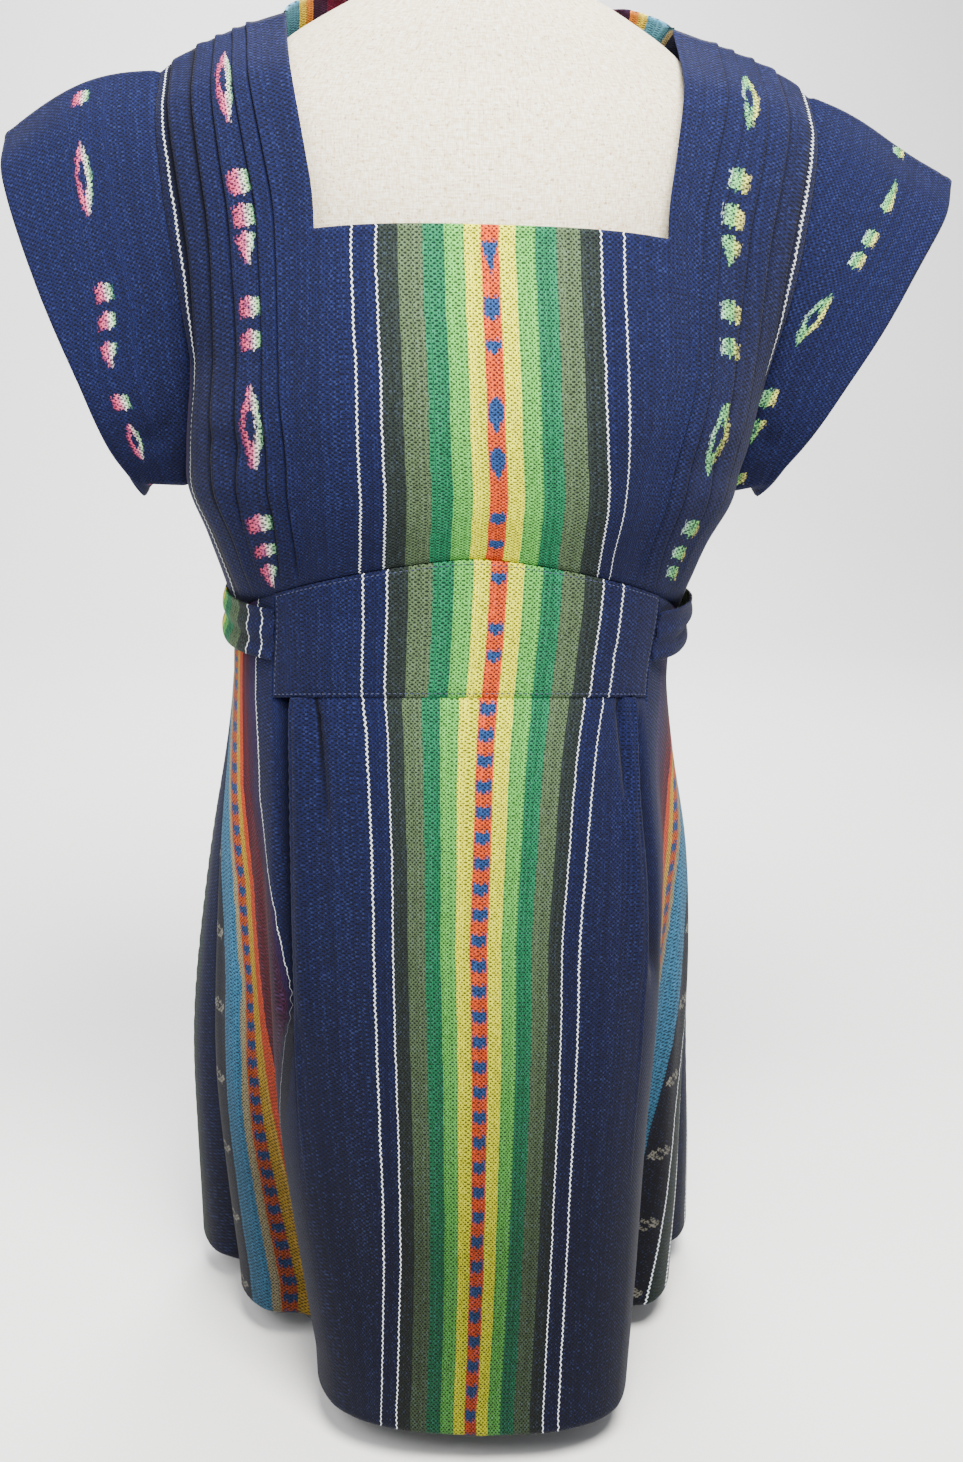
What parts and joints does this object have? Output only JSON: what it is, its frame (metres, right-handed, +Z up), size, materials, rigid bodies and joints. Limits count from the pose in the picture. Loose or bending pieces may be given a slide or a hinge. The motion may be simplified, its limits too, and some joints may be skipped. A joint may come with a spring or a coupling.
{
  "type": "handwoven dress on a dress form",
  "caption": "Handwoven striped dress with a square tucked neck, cap sleeves, a shaped band and a tie sash, standing on a limbless dress form with a round base.",
  "frame": {"origin": "the middle of the underside of the dress form's round base", "axes": "+Z up, the dress's front faces -Y, +X is the right-hand side of the picture"},
  "size_m": [0.6423, 0.4009, 1.0293],
  "materials": {
    "bodice_cloth": "matte handwoven cotton",
    "sleeve_cloth": "matte handwoven cotton",
    "band_cloth": "matte handwoven cotton",
    "skirt_cloth": "matte handwoven cotton",
    "sash_cloth": "matte handwoven cotton",
    "form_linen": "flecked cream linen cover",
    "form_cap": "satin",
    "form_steel": "satin"
  },
  "bodies": {
    "root": {"front_bodice": "bodice_cloth", "back_bodice": "bodice_cloth", "sleeve_left": "sleeve_cloth", "sleeve_right": "sleeve_cloth", "front_band": "band_cloth", "front_skirt": "skirt_cloth", "back_skirt": "skirt_cloth", "tie_left": "sash_cloth", "tie_right": "sash_cloth", "tie_tail_left": "sash_cloth", "tie_tail_right": "sash_cloth", "tie_knot": "sash_cloth", "form_torso": "form_linen", "form_neck_cap": "form_cap", "form_pole": "form_steel", "form_base": "form_steel"}
  },
  "joints": []
}
